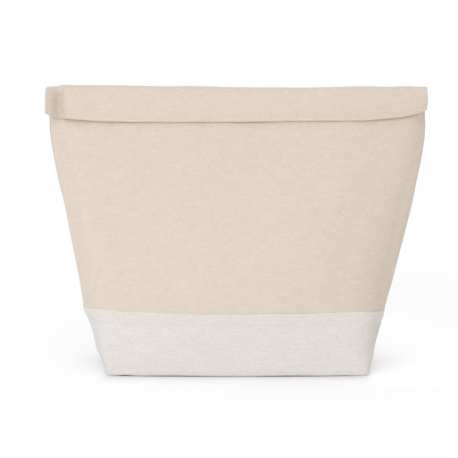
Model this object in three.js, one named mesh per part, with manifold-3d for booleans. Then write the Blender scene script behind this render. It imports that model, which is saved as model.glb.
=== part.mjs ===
// Fold-over cooler bag: a soft, insulated lunch bag in natural canvas with a white canvas base.
// Millimetres, +Z up, front towards -Y. The origin is the middle of the base, on the surface the bag stands on.
//
// Construction, from outside to inside, is canvas, a thin foam sheet and a silver film. The bag is boxed at the
// base (a 223 x 117 mm rectangle) and flat at the mouth, so each side is a gusset that narrows to nothing.
// The back wall runs on over the top as a flap. The flap folds forward over the mouth and is held by a strip
// of hook tape on the front wall and loop tape on the flap.
import * as THREE from "three";
import Module from "manifold-3d";
import { mergeVertices } from "three/addons/utils/BufferGeometryUtils.js";

const wasm = await Module();
wasm.setup();

// ---- driving dimensions ------------------------------------------------------------------------------------
const BASE_HALF_W = 111.5; // half the width of the boxed base
const BASE_HALF_D = 58.5; // half its depth
const MOUTH_Z = 234.6; // top edge of the front wall
const MOUTH_HALF_D = 7.5; // half the depth of the bag there
const BAND_Z = 52; // seam between the white base and the natural canvas
const FOLD_TOP_Z = 248.6; // highest point of the folded top
const FLAP_HALF_W = 168; // half the width of the flap
const FLAP_LENGTH = 23.8; // straight part of the flap, below the fold
const CANVAS = 0.8;
const FOAM = 2.0;
const FILM = 0.4;
const FACING = 0.8;
const GAP = 0.3; // between sheets that touch
const TAPE = 1.0; // hook tape and loop tape
const TAPE_GAP = 0.6; // between the two tapes
const TAPE_HALF_L = 105;
const TAPE_FROM = 7.4; // measured down the flap from the fold
const TAPE_TO = 22.4;
const HEM_DROP = 10.5; // canvas turned in over the front wall's top edge
const TOP_Z = 235.4; // top of the back wall and the gussets, where the fold begins
const FOLD_BACK = 3.5; // how far the fold runs down behind
const FOLD_FRONT = 5; // and in front, before it becomes the flap
const CREASE_SOFT = 9; // how far the soft corner between front and gusset reaches along each

// Where each sheet lies, measured inward from the outside of the bag.
const FOAM_AT = CANVAS + GAP; // 1.1
const FILM_AT = FOAM_AT + FOAM + GAP; // 3.4
const HEM_AT = FILM_AT + FILM + GAP; // 4.1

// Half width of the bag at its side seams, by height.
const SIDE_X = [
  [0, 111.6], [4, 115.6], [8, 119.0], [14, 122.8], [21, 126.0], [30, 128.9], [40, 131.5], [52, 134.6], [66, 137.9],
  [84, 142.1], [102, 146.0], [120, 149.9], [138, 153.7], [156, 157.7], [174, 161.5], [192, 164.8], [210, 166.9],
  [225, 167.7], [242, 168.0],
];
// Half width of the front face, from corner to corner.
const FACE_X = [
  [0, 111.5], [22, 115.8], [52, 121.6], [100, 130.0], [145, 137.2], [190, 141.8], [215, 143.6], [242, 145.0],
];

// ---- shape of the bag --------------------------------------------------------------------------------------
// Smooth curve through a table of [z, value].
function curve(table, z) {
  const n = table.length;
  if (z <= table[0][0]) return table[0][1];
  if (z >= table[n - 1][0]) return table[n - 1][1];
  let i = 0;
  while (z > table[i + 1][0]) i++;
  const slope = (k) => {
    const a = Math.max(0, k - 1), b = Math.min(n - 1, k + 1);
    return (table[b][1] - table[a][1]) / (table[b][0] - table[a][0]);
  };
  const h = table[i + 1][0] - table[i][0], s = (z - table[i][0]) / h;
  const m0 = slope(i) * h, m1 = slope(i + 1) * h;
  const s2 = s * s, s3 = s2 * s;
  return (2 * s3 - 3 * s2 + 1) * table[i][1] + (s3 - 2 * s2 + s) * m0 + (3 * s2 - 2 * s3) * table[i + 1][1] + (s3 - s2) * m1;
}
const smooth = (a, b, x) => {
  const s = Math.min(1, Math.max(0, (x - a) / (b - a)));
  return s * s * (3 - 2 * s);
};
const WALL_SLOPE = (BASE_HALF_D - MOUTH_HALF_D) / MOUTH_Z;
const halfDepth = (z) => BASE_HALF_D - WALL_SLOPE * z;
// The faces belly out a little, and are flat at the base and under the flap.
const belly = (z) => 3.6 * Math.pow(Math.max(0, Math.sin((Math.PI * Math.min(z, 205)) / 205)), 1.2);
// The side seams move to the back near the top, where the back wall is flat across the flap.
const seamY = (z) => smooth(110, 232, z) * (MOUTH_HALF_D - 1.5);

const N_SIDE = 1, N_SOFT = 2, N_FACE = 8;
// The bag's outline at height z, anticlockwise from the left side seam, as [x, y].
function outline(z) {
  const X = curve(SIDE_X, z), F = curve(FACE_X, z), D = halfDepth(z), B = belly(z), Y = seamY(z);
  const half = (sign) => {
    // from the left seam to the right seam along the front (sign -1) or the back (sign 1)
    const seamL = [-X, Y], cornerL = [-F, sign * D], cornerR = [F, sign * D], seamR = [X, Y];
    const towards = (p, q, d) => {
      const l = Math.hypot(q[0] - p[0], q[1] - p[1]);
      return [p[0] + ((q[0] - p[0]) * d) / l, p[1] + ((q[1] - p[1]) * d) / l];
    };
    const pts = [];
    const soft = (seam, corner, other, inward) => {
      const a = towards(corner, seam, CREASE_SOFT), c = towards(corner, other, CREASE_SOFT);
      const mid = [(a[0] + 2 * corner[0] + c[0]) / 4, (a[1] + 2 * corner[1] + c[1]) / 4];
      return inward ? [a, mid, c] : [c, mid, a];
    };
    const left = soft(seamL, cornerL, cornerR, true), right = soft(seamR, cornerR, cornerL, false);
    for (let i = 0; i < N_SIDE; i++) {
      const s = i / N_SIDE;
      pts.push([seamL[0] + (left[0][0] - seamL[0]) * s, seamL[1] + (left[0][1] - seamL[1]) * s]);
    }
    pts.push(left[0], left[1]);
    for (let i = 0; i <= N_FACE; i++) {
      const s = i / N_FACE, x = left[2][0] + (right[0][0] - left[2][0]) * s;
      const y = left[2][1] + (right[0][1] - left[2][1]) * s;
      pts.push([x, y + sign * B * (1 - Math.pow((2 * s - 1), 2))]);
    }
    pts.push(right[1], right[2]);
    for (let i = 1; i <= N_SIDE; i++) {
      const s = i / N_SIDE;
      pts.push([right[2][0] + (seamR[0] - right[2][0]) * s, right[2][1] + (seamR[1] - right[2][1]) * s]);
    }
    return pts;
  };
  const front = half(-1), back = half(1).reverse();
  return [...front.slice(0, -1), ...back.slice(0, -1)];
}
const HALF = 2 * N_SIDE + 2 * N_SOFT + N_FACE; // steps along one half of the outline
const N = 2 * HALF;
// The outline moved inward by t.
function inset(z, t) {
  const p = outline(z);
  return p.map((v, i) => {
    const a = p[(i + N - 1) % N], b = p[(i + 1) % N];
    const n = (u, w) => {
      const l = Math.hypot(w[0] - u[0], w[1] - u[1]);
      return [-(w[1] - u[1]) / l, (w[0] - u[0]) / l];
    };
    const n1 = n(a, v), n2 = n(v, b), k = t / (1 + n1[0] * n2[0] + n1[1] * n2[1]);
    return [v[0] + (n1[0] + n2[0]) * k, v[1] + (n1[1] + n2[1]) * k];
  });
}
const insets = new Map();
function at(z, t, u) {
  const key = z.toFixed(4) + "/" + t.toFixed(4);
  if (!insets.has(key)) insets.set(key, inset(z, t));
  const p = insets.get(key), i = Math.floor(u + 1e-9), s = u - i;
  const a = p[((i % N) + N) % N], b = p[(((i + 1) % N) + N) % N];
  return [a[0] + (b[0] - a[0]) * s, a[1] + (b[1] - a[1]) * s, z];
}

// ---- solids ------------------------------------------------------------------------------------------------
function geometryOf(points, faces) {
  let volume = 0;
  for (const [a, b, c] of faces) {
    const [p, q, r] = [points[a], points[b], points[c]];
    volume += p[0] * (q[1] * r[2] - q[2] * r[1]) - p[1] * (q[0] * r[2] - q[2] * r[0]) + p[2] * (q[0] * r[1] - q[1] * r[0]);
  }
  const g = new THREE.BufferGeometry();
  g.setAttribute("position", new THREE.Float32BufferAttribute(points.flat(), 3));
  g.setIndex(faces.map((f) => (volume < 0 ? [f[0], f[2], f[1]] : f)).flat());
  return g;
}
function solidOf(geometry) {
  const g = geometry.clone();
  for (const name of Object.keys(g.attributes)) if (name !== "position") g.deleteAttribute(name);
  const m = mergeVertices(g, 1e-4);
  return new wasm.Manifold(
    new wasm.Mesh({ numProp: 3, vertProperties: new Float32Array(m.attributes.position.array), triVerts: new Uint32Array(m.index.array) }),
  );
}
function geometryFrom(solid) {
  const mesh = solid.getMesh(), k = mesh.numProp;
  const position = new Float32Array((mesh.vertProperties.length / k) * 3);
  for (let i = 0; i < position.length / 3; i++) for (let j = 0; j < 3; j++) position[3 * i + j] = mesh.vertProperties[k * i + j];
  const g = new THREE.BufferGeometry();
  g.setAttribute("position", new THREE.BufferAttribute(position, 3));
  g.setIndex([...mesh.triVerts]);
  return g;
}
// A box-like solid from two matching grids of points, [rows][columns] each.
function between(outer, inner, shape = outer) {
  const R = outer.length, C = outer[0].length, points = [...outer.flat(), ...inner.flat()], faces = [];
  const o = (r, c) => r * C + c, i = (r, c) => R * C + r * C + c;
  const quad = (a, b, c, d) => faces.push([a, b, c], [a, c, d]);
  const apart = (p, q) => Math.hypot(p[0] - q[0], p[1] - q[1], p[2] - q[2]);
  // the shorter diagonal keeps a twisted face smooth
  const turns = Array.from({ length: C - 1 }, (_, c) => {
    let sum = 0;
    for (let r = 0; r < R - 1; r++) sum += apart(shape[r][c], shape[r + 1][c + 1]) - apart(shape[r][c + 1], shape[r + 1][c]);
    return sum > 0.01;
  });
  for (let r = 0; r < R - 1; r++)
    for (let c = 0; c < C - 1; c++) {
      const O = [o(r, c), o(r, c + 1), o(r + 1, c + 1), o(r + 1, c)], I = [i(r, c), i(r + 1, c), i(r + 1, c + 1), i(r, c + 1)];
      quad(...(turns[c] ? [O[1], O[2], O[3], O[0]] : O));
      quad(...(turns[c] ? [I[1], I[2], I[3], I[0]] : I));
    }
  for (let c = 0; c < C - 1; c++) {
    quad(o(0, c), i(0, c), i(0, c + 1), o(0, c + 1));
    quad(o(R - 1, c), o(R - 1, c + 1), i(R - 1, c + 1), i(R - 1, c));
  }
  for (let r = 0; r < R - 1; r++) {
    quad(o(r, 0), o(r + 1, 0), i(r + 1, 0), i(r, 0));
    quad(o(r, C - 1), i(r, C - 1), i(r + 1, C - 1), o(r + 1, C - 1));
  }
  return geometryOf(points, faces);
}
const STEPS = [78, 100, 122, 145, 164, 180, 194, 207, 219];
const heights = (from, to) => [from, ...STEPS.filter((z) => z > from + 4 && z < to - 4), to];
// A sheet of the bag's wall: from depth t0 to t1, between two heights and two places u0, u1 along the outline.
function sheet(t0, t1, z0, z1, u0, u1, rows = heights(z0, z1)) {
  const us = [u0];
  for (let u = Math.floor(u0) + 1; u < u1 - 1e-6; u++) us.push(u);
  us.push(u1);
  const grid = (t) =>
    rows.map((z) =>
      us.map((u) => {
        // the ends stand back from the neighbouring sheet by half the gap
        let v = u;
        if (u === u0 || u === u1) {
          const a = at(z, t, u), b = at(z, t, u === u0 ? Math.floor(u0) + 1 : Math.ceil(u1) - 1);
          const l = Math.hypot(b[0] - a[0], b[1] - a[1]);
          v = u + ((u === u0 ? 1 : -1) * 0.17 * Math.abs((u === u0 ? Math.floor(u0) + 1 : Math.ceil(u1) - 1) - u)) / l;
        }
        return at(z, t, v);
      }),
    );
  return between(grid(t0), grid(t1), grid(0));
}
// A capped solid of the whole outline, moved inward by t, between two heights.
function full(t, rows) {
  const points = [], faces = [];
  rows.forEach((z) => points.push(...Array.from({ length: N }, (_, i) => at(z, t, i))));
  const R = rows.length;
  for (let r = 0; r < R - 1; r++)
    for (let c = 0; c < N; c++) {
      const d = (c + 1) % N;
      faces.push([r * N + c, r * N + d, (r + 1) * N + d], [r * N + c, (r + 1) * N + d, (r + 1) * N + c]);
    }
  const low = points.length;
  points.push([0, 0, rows[0]], [0, 0, rows[R - 1]]);
  for (let c = 0; c < N; c++) {
    const d = (c + 1) % N;
    faces.push([low, d, c], [low + 1, (R - 1) * N + c, (R - 1) * N + d]);
  }
  return geometryOf(points, faces);
}
const TUB = [4, 8, 14, 21, 30, 40];
function tub(t0, t1, floor0, floor1) {
  const outer = solidOf(full(t0, [floor0, ...TUB, BAND_Z]));
  const inner = solidOf(full(t1, [floor1, ...TUB, BAND_Z, BAND_Z + 2]));
  return geometryFrom(outer.subtract(inner));
}

// ---- the fold and the flap ---------------------------------------------------------------------------------
// They are laid out round the fold's axis: rho outward from it, r down the flap.
const LEAN = Math.atan(WALL_SLOPE);
const STACK = GAP + TAPE + TAPE_GAP + TAPE + GAP + FACING + GAP + FOAM + GAP + CANVAS; // from the front wall to the flap's outside
const PLANE = BASE_HALF_D * Math.cos(LEAN); // distance of the wall planes from the line above the base's middle
const AXIS_Y = -STACK / (2 * Math.cos(LEAN));
const AXIS_Z = (FOLD_TOP_Z - PLANE - STACK / 2) / (1 - Math.sin(LEAN));
const RHO_OUT = FOLD_TOP_Z - AXIS_Z;
const WALL_RHO = RHO_OUT - STACK; // the front wall's outside
const CANVAS_RHO = [RHO_OUT - CANVAS, RHO_OUT];
const FLAP_FOAM_RHO = [CANVAS_RHO[0] - GAP - FOAM, CANVAS_RHO[0] - GAP];
const FACING_RHO = [FLAP_FOAM_RHO[0] - GAP - FACING, FLAP_FOAM_RHO[0] - GAP];
const LOOP_RHO = [FACING_RHO[0] - GAP - TAPE, FACING_RHO[0] - GAP];
const HOOK_RHO = [WALL_RHO + GAP, WALL_RHO + GAP + TAPE];

// A point on the flap.
const onFlap = (x, rho, r) => [
  x,
  AXIS_Y - rho * Math.cos(LEAN) - r * Math.sin(LEAN),
  AXIS_Z + rho * Math.sin(LEAN) - r * Math.cos(LEAN),
];
// The flap's lower edge rises towards both ends.
const FLAP_EDGE = [
  [0, 0], [105, 0], [125, 0.4], [140, 1.5], [154, 3.6], [163, 5.8], [168, 7.6],
];
const flapEdge = (x) => FLAP_LENGTH - Math.max(0, curve(FLAP_EDGE, Math.abs(x)));
const FLAP_X = [0, 36, 72, 106, 125, 140, 154, 163];
function flapSheet(rho0, rho1, r0, halfW, back) {
  const xs = [...FLAP_X.filter((x) => x < halfW - 2), halfW];
  const all = [...xs.slice(1).reverse().map((x) => -x), ...xs];
  const grid = (rho) => [all.map((x) => onFlap(x, rho, r0)), all.map((x) => onFlap(x, rho, flapEdge(x * (FLAP_HALF_W / halfW)) - back))];
  return between(grid(rho1), grid(rho0));
}
function flapBox(rho0, rho1, r0, r1, halfL) {
  const grid = (rho) => [r0, r1].map((r) => [-halfL, halfL].map((x) => onFlap(x, rho, r)));
  return between(grid(rho1), grid(rho0));
}
// The fold: part of a tube round the axis, from the back wall to the flap.
function foldSheet(rho0, rho1, halfW) {
  const n = 14, a0 = LEAN, a1 = Math.PI - LEAN;
  const grid = (rho) => {
    const rows = Array.from({ length: n + 1 }, (_, i) => {
      const a = a0 + ((a1 - a0) * i) / n;
      return [AXIS_Y + rho * Math.cos(a), AXIS_Z + rho * Math.sin(a)];
    });
    const [first, last] = [rows[0], rows[n]];
    rows.unshift([first[0] + FOLD_BACK * Math.sin(LEAN), first[1] - FOLD_BACK * Math.cos(LEAN)]);
    rows.push([last[0] - (FOLD_FRONT - 0.15) * Math.sin(LEAN), last[1] - (FOLD_FRONT - 0.15) * Math.cos(LEAN)]);
    return rows.map(([y, z]) => [-halfW, halfW].map((x) => [x, y, z]));
  };
  return between(grid(rho1), grid(rho0));
}

// ---- seam bindings inside ----------------------------------------------------------------------------------
// A folded tape stands in from each side seam and covers the raw edges there.
function sideBinding(sign) {
  const seam = sign < 0 ? 0 : HALF, rows = [9, 14, 21, 30, 40, 52, 78, 100, 122, 145, 164, 180, 194, 207, 219, 231];
  const grid = (side) =>
    rows.map((z) => {
      const tip = at(z, FILM_AT + FILM, seam), p = at(z, FILM_AT + FILM, seam - 1), q = at(z, FILM_AT + FILM, seam + 1);
      const unit = (v) => { const l = Math.hypot(v[0], v[1]); return [v[0] / l, v[1] / l]; };
      const a = unit([p[0] - tip[0], p[1] - tip[1]]), b = unit([q[0] - tip[0], q[1] - tip[1]]);
      const open = Math.acos(Math.max(-1, Math.min(1, a[0] * b[0] + a[1] * b[1]))) / 2;
      let inward = [a[0] + b[0], a[1] + b[1]];
      inward = open > 1.5 ? [-sign, 0] : unit(inward);
      const across = [-inward[1], inward[0]], start = 0.35 + 1.05 / Math.tan(Math.min(open, 1.5));
      return [start, start + 8].map((d) => [tip[0] + inward[0] * d + across[0] * 0.7 * side, tip[1] + inward[1] * d + across[1] * 0.7 * side, z]);
    });
  return between(grid(1), grid(-1));
}
// The seam across the foot of each gusset is bound the same way and lies on the floor.
function cornerBinding(sign) {
  const x0 = BASE_HALF_W - FILM_AT - FILM - 0.5, g = new THREE.BoxGeometry(8, 2 * (BASE_HALF_D - 9.5), 1.4);
  g.translate(sign * (x0 - 4), 0, FILM_AT + FILM + GAP + 0.7);
  return g;
}

// ---- the object --------------------------------------------------------------------------------------------
const finish = (name, color, roughness, metalness = 0) => Object.assign(new THREE.MeshStandardMaterial({ color, roughness, metalness, side: THREE.FrontSide }), { name });
const natural = finish("natural_canvas", 0xe2d5c4, 0.95);
const white = finish("white_canvas", 0xe9e4de, 0.95);
const foam = finish("white_foam", 0xf0f0ee, 0.85);
const film = finish("silver_film", 0xc4c6c9, 0.35, 0.6);
const tape = finish("hook_tape", 0xe0d8ca, 0.9);
const binding = finish("binding_tape", 0xdedcd6, 0.85);

const object = new THREE.Group();
const add = (name, geometry, material) => {
  geometry.computeVertexNormals();
  const mesh = new THREE.Mesh(geometry, material);
  mesh.name = name;
  object.add(mesh);
  return mesh;
};

// Places along the outline: the soft corners are at C1..C4 and the seams at 0 and HALF.
const C1 = N_SIDE + 1, C2 = HALF - N_SIDE - 1, C3 = HALF + N_SIDE + 1, C4 = N - N_SIDE - 1;
const LOW = BAND_Z + GAP;

// base: white canvas wrapped under the bag, foam tray, film tray
add("base_wrap", tub(0, CANVAS, 0, CANVAS), white);
add("base_foam", tub(FOAM_AT, FOAM_AT + FOAM, FOAM_AT, FOAM_AT + FOAM), foam);
add("base_lining", tub(FILM_AT, FILM_AT + FILM, FILM_AT, FILM_AT + FILM), film);

// front wall: the canvas is turned in over the foam and film at the mouth
{
  const panel = solidOf(sheet(0, CANVAS, LOW, MOUTH_Z, C1, C2))
    .add(solidOf(sheet(0.05, HEM_AT + CANVAS - 0.05, MOUTH_Z - CANVAS, MOUTH_Z - 0.02, C1, C2, [MOUTH_Z - CANVAS, MOUTH_Z - 0.02])))
    .add(solidOf(sheet(HEM_AT, HEM_AT + CANVAS, MOUTH_Z - HEM_DROP, MOUTH_Z, C1, C2, [MOUTH_Z - HEM_DROP, MOUTH_Z])));
  add("front_panel", geometryFrom(panel), natural);
}
const UNDER_HEM = MOUTH_Z - CANVAS - GAP;
add("front_foam", sheet(FOAM_AT, FOAM_AT + FOAM, LOW, UNDER_HEM, C1, C2), foam);
add("front_lining", sheet(FILM_AT, FILM_AT + FILM, LOW, UNDER_HEM, C1, C2), film);
add("hook_strip", flapBox(HOOK_RHO[0], HOOK_RHO[1], TAPE_FROM, TAPE_TO, TAPE_HALF_L), tape);

// back wall
add("back_panel", sheet(0, CANVAS, LOW, TOP_Z, C3, C4), natural);
add("back_foam", sheet(FOAM_AT, FOAM_AT + FOAM, LOW, TOP_Z, C3, C4), foam);
add("back_lining", sheet(FILM_AT, FILM_AT + FILM, LOW, TOP_Z, C3, C4), film);

// gussets: each folds round its side seam
for (const [side, a, b] of [["left", C4 - N, C1], ["right", C2, C3]]) {
  add(side + "_gusset", sheet(0, CANVAS, LOW, TOP_Z, a, b), natural);
  add(side + "_gusset_foam", sheet(FOAM_AT, FOAM_AT + FOAM, LOW, TOP_Z, a, b), foam);
  add(side + "_gusset_lining", sheet(FILM_AT, FILM_AT + FILM, LOW, TOP_Z, a, b), film);
}
add("left_side_binding", sideBinding(-1), binding);
add("right_side_binding", sideBinding(1), binding);
add("left_corner_binding", cornerBinding(-1), binding);
add("right_corner_binding", cornerBinding(1), binding);

// fold over the mouth
add("fold_canvas", foldSheet(CANVAS_RHO[0], CANVAS_RHO[1], FLAP_HALF_W), natural);
add("fold_foam", foldSheet(FLAP_FOAM_RHO[0], FLAP_FOAM_RHO[1], FLAP_HALF_W - CANVAS - GAP), foam);
add("fold_facing", foldSheet(FACING_RHO[0], FACING_RHO[1], FLAP_HALF_W - CANVAS - GAP), natural);

// flap: the canvas is turned in round its three free edges
{
  const outer = solidOf(flapSheet(FACING_RHO[0], RHO_OUT, FOLD_FRONT + 0.15, FLAP_HALF_W, 0));
  const hollow = solidOf(flapSheet(FACING_RHO[0] - 2, CANVAS_RHO[0], -1, FLAP_HALF_W - CANVAS, CANVAS));
  add("flap_outer", geometryFrom(outer.subtract(hollow)), natural);
}
add("flap_foam", flapSheet(FLAP_FOAM_RHO[0], FLAP_FOAM_RHO[1], FOLD_FRONT + 0.15, FLAP_HALF_W - CANVAS - GAP, CANVAS + GAP + 0.1), foam);
add("flap_facing", flapSheet(FACING_RHO[0], FACING_RHO[1], FOLD_FRONT + 0.15, FLAP_HALF_W - CANVAS - GAP, CANVAS + GAP + 0.1), natural);
add("loop_strip", flapBox(LOOP_RHO[0], LOOP_RHO[1], TAPE_FROM, TAPE_TO, TAPE_HALF_L), tape);

export default object;
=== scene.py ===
import math

import bmesh
import bpy
import numpy as np
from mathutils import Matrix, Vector


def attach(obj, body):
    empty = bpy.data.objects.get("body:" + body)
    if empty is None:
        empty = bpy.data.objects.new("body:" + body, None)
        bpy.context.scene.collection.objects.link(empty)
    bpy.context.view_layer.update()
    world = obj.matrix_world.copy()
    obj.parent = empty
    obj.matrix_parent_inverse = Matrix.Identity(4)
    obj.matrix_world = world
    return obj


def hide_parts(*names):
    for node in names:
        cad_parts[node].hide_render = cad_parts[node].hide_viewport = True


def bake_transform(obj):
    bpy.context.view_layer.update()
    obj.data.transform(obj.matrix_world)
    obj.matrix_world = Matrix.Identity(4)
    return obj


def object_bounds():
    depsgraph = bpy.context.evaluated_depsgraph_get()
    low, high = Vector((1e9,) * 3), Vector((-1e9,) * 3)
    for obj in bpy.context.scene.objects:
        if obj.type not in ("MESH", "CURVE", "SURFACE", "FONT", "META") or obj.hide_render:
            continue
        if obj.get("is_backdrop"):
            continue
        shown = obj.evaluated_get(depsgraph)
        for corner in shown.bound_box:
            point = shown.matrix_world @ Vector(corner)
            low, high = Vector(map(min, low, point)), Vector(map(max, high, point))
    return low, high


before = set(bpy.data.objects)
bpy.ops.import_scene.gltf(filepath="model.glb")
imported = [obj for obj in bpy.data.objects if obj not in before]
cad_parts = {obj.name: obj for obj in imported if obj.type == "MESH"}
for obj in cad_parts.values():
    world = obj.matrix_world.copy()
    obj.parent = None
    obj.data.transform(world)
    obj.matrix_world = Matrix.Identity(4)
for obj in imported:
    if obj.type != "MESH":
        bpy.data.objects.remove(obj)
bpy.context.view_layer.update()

# ---- sizes --------------------------------------------------------------------------------------------------
BASE_HALF_D = 58.5
MOUTH_Z = 234.6
MOUTH_HALF_D = 7.5
BAND_Z = 52.0
FOLD_TOP_Z = 248.6
HALF_W = 168.0
CANVAS = 0.8
FOAM = (1.1, 3.1)  # depth below the outside of the bag
FILM = (3.4, 3.8)
HEM = 4.9  # thickness of the front wall's top, canvas turned in over foam and film
HEM_DROP = 10.5
FOLD_T = 4.2  # canvas, foam and facing of the fold and the flap
WALL_SLOPE = (BASE_HALF_D - MOUTH_HALF_D) / MOUTH_Z
LEAN = math.atan(WALL_SLOPE)
COS, SIN = math.cos(LEAN), math.sin(LEAN)
STACK = 7.4
AXIS_Y = -STACK / (2 * COS)
AXIS_Z = (FOLD_TOP_Z - BASE_HALF_D * COS - STACK / 2) / (1 - SIN)
RHO = FOLD_TOP_Z - AXIS_Z  # radius of the fold's outside
HOOK_RHO = (RHO - STACK + 0.3, RHO - STACK + 1.3)
LOOP_RHO = (RHO - 5.5, RHO - 4.5)
TANGENT_Z = AXIS_Z + RHO * SIN  # where the straight walls meet the fold
TAPE_HALF_L, TAPE_FROM, TAPE_TO = 105.0, 7.0, 18.8

# Half width at the side seams, by height, to the left and to the right as seen from the front.
LEFT_X = [
    (0, 119.6), (4, 122.2), (8.5, 124.4), (13.2, 126.6), (20.9, 128.3), (30, 130.2), (39.2, 133.6), (48.3, 137.6),
    (57.4, 138.7), (75.5, 141.4), (93.6, 144.8), (111.7, 148.3), (129.7, 151.6), (147.4, 155.0), (165.3, 159.2),
    (183.2, 162.4), (201, 165.3), (219.7, 166.7), (235, 167.6), (246, 168.0),
]
RIGHT_X = [
    (0, 120.6), (4, 123.0), (8.5, 124.0), (13.2, 124.7), (20.9, 126.2), (30, 128.4), (39.2, 130.6), (48.3, 132.7),
    (57.4, 134.7), (75.5, 140.0), (93.6, 144.5), (111.7, 149.1), (129.7, 153.6), (147.4, 157.7), (165.3, 161.1),
    (183.2, 164.8), (201, 167.4), (212, 168.0), (224, 168.1), (235, 168.2), (246, 168.3),
]
# Half width of the front and back faces, from the middle to the creases.
FACE_LEFT = [(0, 111.4), (22, 116.8), (52, 122.4), (100, 129.4), (145, 136.0), (180, 142.5), (205, 148.5), (222, 152.5), (246, 154.0)]
FACE_RIGHT = [(0, 113.4), (22, 115.5), (52, 119.0), (100, 127.0), (145, 138.0), (180, 150.0), (205, 156.0), (222, 158.0), (246, 158.0)]
# How far the soft corner reaches from the crease along each face.
SOFT_LEFT = [(0, 4), (22, 12), (52, 22), (110, 28), (180, 24), (210, 12), (235, 8)]
SOFT_RIGHT = [(0, 4), (8, 15), (22, 26), (52, 32), (100, 36), (150, 30), (180, 22), (205, 14), (235, 8)]
# How much higher the seam of the white base lies than in the drawing, along the cloth.
SEAM_LINE = [
    (-168, 1.2), (-150, 1.5), (-136, 2.5), (-125, 3.8), (-119, 3.9), (-113, 3.5), (-106, 3.1), (-98, 2.2), (-80, 2.0), (-54, 1.3), (-27, 1.1), (0, 1.25),
    (25, 1.4), (51, 1.5), (78, 1.4), (96, 1.4), (104, 1.6), (112, 1.5), (118, 1.4), (124, 1.0), (132, 0.2), (150, -1.5), (168, -2.2),
]
# Height of the fold's top against its drawn height, and the place of the flap's lower edge, along the flap.
TOP_LINE = [
    (-168.5, -0.8), (-166, -0.65), (-162, -0.35), (-159, -0.1), (-157, 0.3), (-155, 0.85), (-153.2, 1.35), (-151, 1.4), (-148, 1.25), (-138, 1.2), (-120, 1.6), (-100, 1.3),
    (-80, 0.8), (-60, 0.4), (-40, 0.7), (-24, 0.6), (-8, -0.2), (10, -0.9), (32, -1.4), (50, -1.5), (66, -0.9), (84, -0.2), (100, 0.45),
    (112, 0.95), (122, 0.75), (134, 0.0), (150, -0.3), (160, -0.75), (168.5, -0.6),
]
FLAP_LINE = [
    (-168.5, 225.6), (-164, 223.9), (-160, 223.0), (-155, 222.0), (-150, 221.2), (-142, 220.3), (-134, 219.8), (-126, 219.3), (-116, 218.8), (-100, 218.4),
    (-84, 218.2), (-52, 218.2), (-20, 218.2), (12, 218.2), (28, 218.4), (44, 218.8), (60, 219.0), (76, 219.2), (92, 219.3), (104, 219.5),
    (117, 220.0), (130, 221.0), (143, 222.2), (150, 223.1), (156, 224.6), (165.9, 227.6), (168.5, 228.6),
]


def curve(table, z):
    """Smooth curve through a table of (z, value)."""
    t = np.asarray(table, float)
    zs, vs = t[:, 0], t[:, 1]
    m = np.empty(len(zs))
    m[1:-1] = (vs[2:] - vs[:-2]) / (zs[2:] - zs[:-2])
    m[0], m[-1] = (vs[1] - vs[0]) / (zs[1] - zs[0]), (vs[-1] - vs[-2]) / (zs[-1] - zs[-2])
    z = np.clip(np.asarray(z, float), zs[0], zs[-1])
    i = np.clip(np.searchsorted(zs, z, side="right") - 1, 0, len(zs) - 2)
    h = zs[i + 1] - zs[i]
    s = (z - zs[i]) / h
    s2, s3 = s * s, s * s * s
    return (2 * s3 - 3 * s2 + 1) * vs[i] + (s3 - 2 * s2 + s) * m[i] * h + (3 * s2 - 2 * s3) * vs[i + 1] + (s3 - s2) * m[i + 1] * h


def smooth(a, b, x):
    s = np.clip((np.asarray(x, float) - a) / (b - a), 0, 1)
    return s * s * (3 - 2 * s)


def bump(x, centre, width):
    return np.exp(-(((np.asarray(x, float) - centre) / width) ** 2))


def waves(seed, n, shortest, longest, stretch=1.0):
    """A smooth field of gentle waves, with amplitude about 1."""
    rng = np.random.default_rng(seed)
    length = np.exp(rng.uniform(math.log(shortest), math.log(longest), n))
    turn, phase = rng.uniform(0, math.pi, n), rng.uniform(0, 2 * math.pi, n)
    size = (length / longest) ** 0.7
    size /= math.sqrt((size**2).sum() / 2)

    def field(x, z):
        total = 0.0
        for k in range(n):
            w = 2 * math.pi / length[k]
            total = total + size[k] * np.sin(w * (np.cos(turn[k]) * x + np.sin(turn[k]) * z * stretch) + phase[k])
        return total

    return field


def half_depth(z):
    return BASE_HALF_D - WALL_SLOPE * z


def belly(z):
    return 6.2 * np.power(np.maximum(0, np.sin(math.pi * np.minimum(z, 205) / 205)), 1.2) + 2.6 * (1 - smooth(20, 150, z)) + 1.3 * (1 - smooth(0, 24, z))


def seam_y(z):
    y = smooth(208, 237, z) * (MOUTH_HALF_D - 1.5)
    return y + smooth(216, 231, z) * (half_depth(z) - 0.2 - y)  # up under the fold the seam lies at the back wall


# ---- the bag's outline -------------------------------------------------------------------------------------
SIDE_F = np.array([0, 0.005, 0.012, 0.022, 0.046, 0.09, 0.14, 0.21, 0.29, 0.38, 0.48, 0.59, 0.71, 0.85, 1.0])
SOFT_T = np.linspace(0, 1, 13)[1:]
FACE_S = np.linspace(0, 1, 73)[1:]
COLS = 2 * len(SIDE_F) - 1 + 2 * len(SOFT_T) + len(FACE_S)


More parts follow.
